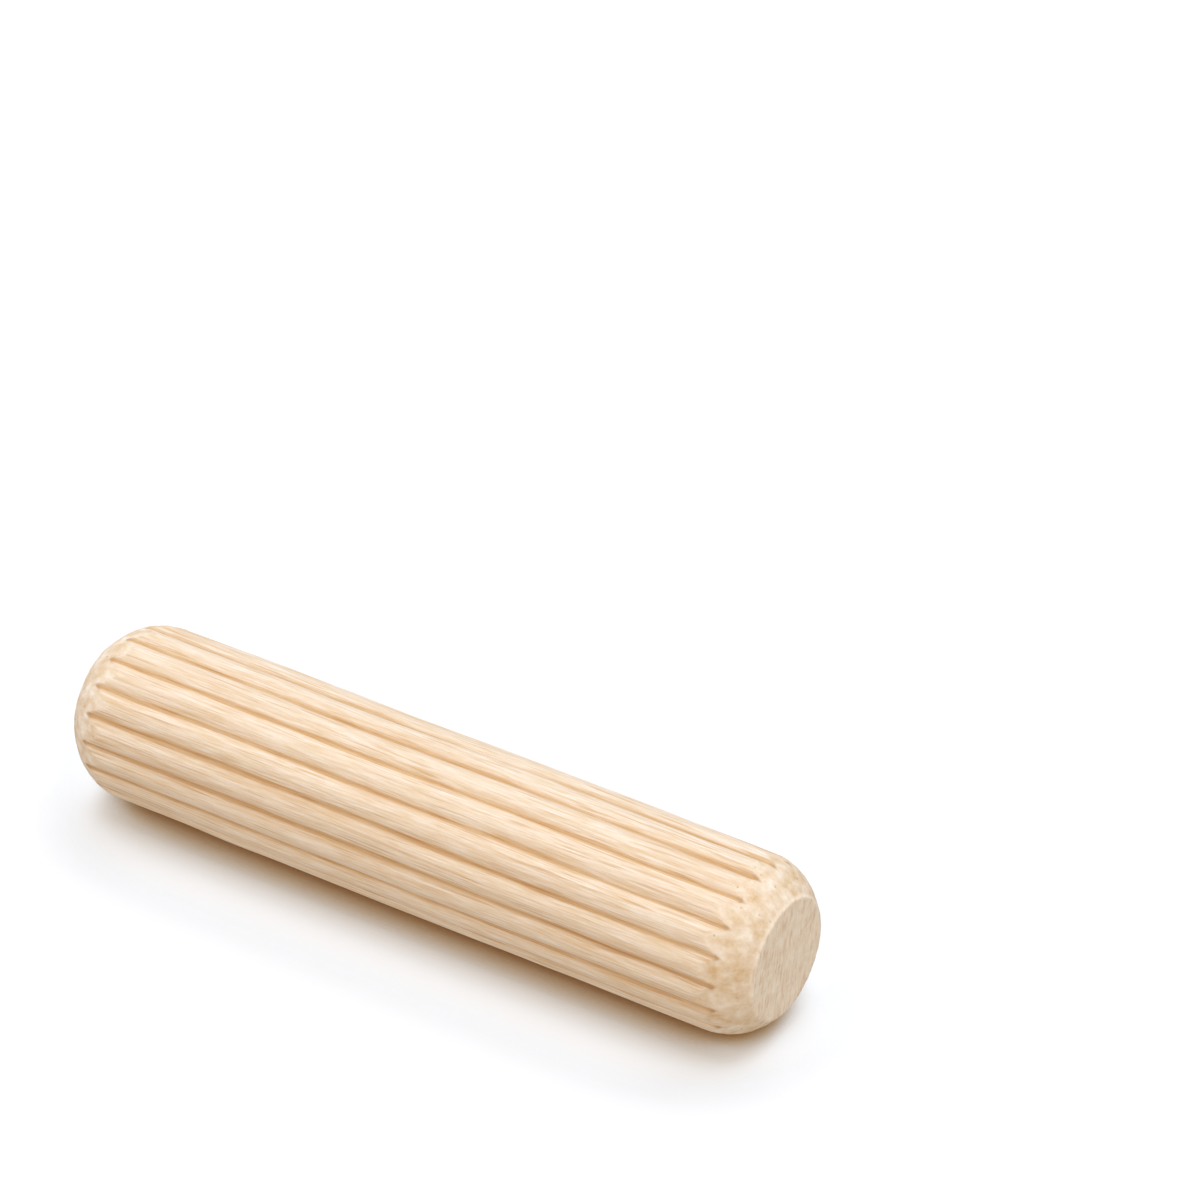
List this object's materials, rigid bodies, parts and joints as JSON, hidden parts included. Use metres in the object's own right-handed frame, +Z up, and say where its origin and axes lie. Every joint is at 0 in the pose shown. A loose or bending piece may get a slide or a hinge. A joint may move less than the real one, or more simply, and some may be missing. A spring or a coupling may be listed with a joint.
{
  "type": "wooden dowel pin",
  "caption": "Fluted round hardwood pin with rounded chamfers at both ends, glued into facing drilled holes to line up and join two boards.",
  "frame": {"origin": "middle of the end face that the pin stands on", "axes": "+Z up along the pin's axis, towards the end face that the picture shows; +Y into the surface that the pin lies on in the picture, square to the axis and through a groove; +X completes the right-handed frame, through a ridge"},
  "size_m": [0.008, 0.008, 0.035],
  "materials": {
    "beech": "bare beech, rolled flutes and turned ends, no coating"
  },
  "bodies": {
    "root": {"dowel_pin": "beech"}
  },
  "joints": []
}
